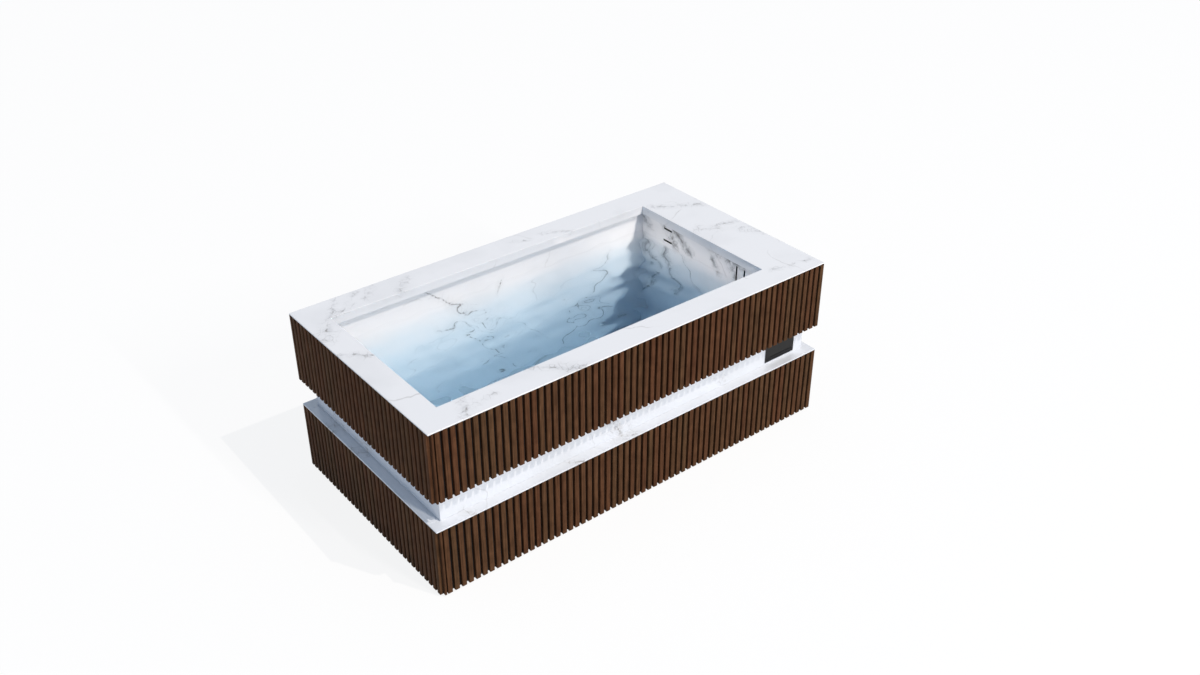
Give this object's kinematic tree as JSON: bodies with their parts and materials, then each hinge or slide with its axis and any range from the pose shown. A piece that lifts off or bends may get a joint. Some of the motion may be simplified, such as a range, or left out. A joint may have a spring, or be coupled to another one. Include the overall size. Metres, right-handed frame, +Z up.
{
  "type": "cold plunge tub",
  "caption": "Free-standing rectangular cold plunge tub: white marble slab top and basin, two bands of walnut slats parted by a recessed waist, chiller and filter under a wide end deck.",
  "frame": {"origin": "on the floor, under the middle of the top slab", "axes": "+X along the tub to the wide deck end, +Y to the back, +Z up; the touch panel faces -Y"},
  "size_m": [2, 1.05, 0.768],
  "materials": {
    "marble": "polished white marble with fine grey veins",
    "walnut": "oiled walnut",
    "painted_steel": "powder coated",
    "galvanised": "galvanised",
    "rubber": "matt",
    "foam": "cut rigid foam",
    "black_plastic": "moulded",
    "dark_glass": "back-printed dark touch glass",
    "grey_plastic": "moulded",
    "filter_media": "pleated filter cloth",
    "white_pipe": "extruded",
    "aluminium": "rolled fins",
    "stainless": "brushed",
    "brass": "cast and machined",
    "red_lever": "dipped vinyl"
  },
  "bodies": {
    "tub": {"top_slab": "marble", "basin_floor": "marble", "basin_wall_front": "marble", "basin_wall_back": "marble", "basin_wall_left": "marble", "basin_wall_right": "marble", "ledge_front": "marble", "ledge_back": "marble", "ledge_left": "marble", "ledge_right": "marble", "waist_panel_front": "marble", "waist_panel_back": "marble", "waist_panel_left": "marble", "waist_panel_right": "marble", "upper_slats_front": "walnut", "upper_slats_back": "walnut", "upper_slats_left": "walnut", "upper_slats_right": "walnut", "lower_slats_front": "walnut", "lower_slats_back": "walnut", "lower_slats_left": "walnut", "base_rail_front": "painted_steel", "base_rail_back": "painted_steel", "base_rail_left": "painted_steel", "base_rail_right": "painted_steel", "bearer_left": "painted_steel", "bearer_middle": "painted_steel", "bearer_right": "painted_steel", "post_front_left": "painted_steel", "post_back_left": "painted_steel", "post_front_right": "painted_steel", "post_back_right": "painted_steel", "skid_front": "rubber", "skid_back": "rubber", "floor_insulation": "foam", "control_housing": "black_plastic", "control_glass": "dark_glass", "return_fitting": "black_plastic", "suction_fitting": "black_plastic", "suction_pipe": "white_pipe", "return_pipe": "white_pipe", "equipment_tray": "galvanised", "pump_casing": "grey_plastic", "filter_canister": "grey_plastic", "filter_cartridge": "filter_media", "compressor": "painted_steel", "heat_exchanger": "stainless", "condenser_coil": "aluminium", "fan_shroud": "black_plastic", "lid_seal": "rubber", "floor_drain": "stainless", "drain_strainer": "stainless", "drain_valve": "brass", "cable_gland": "black_plastic"},
    "service_panel": {"lower_slats_right": "walnut"},
    "fan": {"fan_rotor": "grey_plastic"},
    "impeller": {"pump_impeller": "black_plastic"},
    "filter_cap": {"filter_lid": "black_plastic"},
    "drain_handle": {"drain_lever": "red_lever"}
  },
  "joints": [
    {"name": "service_panel_pull", "type": "slide", "parent": "tub", "child": "service_panel", "axis": [1, 0, 0], "range_m": [0, 0.15]},
    {"name": "fan_spin", "type": "hinge", "parent": "tub", "child": "fan", "pos_m": [0.937, -0.165, 0.1636], "axis": [1, 0, 0], "continuous": true},
    {"name": "impeller_spin", "type": "hinge", "parent": "tub", "child": "impeller", "pos_m": [0.86065, 0.01, 0.166], "axis": [0, 0, 1], "continuous": true},
    {"name": "filter_lid_turn", "type": "hinge", "parent": "tub", "child": "filter_cap", "pos_m": [0.86065, 0.19, 0.265], "axis": [0, 0, 1], "range_deg": [0, 90]},
    {"name": "drain_lever_turn", "type": "hinge", "parent": "tub", "child": "drain_handle", "pos_m": [0.8186, -0.165, 0.1], "axis": [0, 0, 1], "range_deg": [0, 90]}
  ]
}
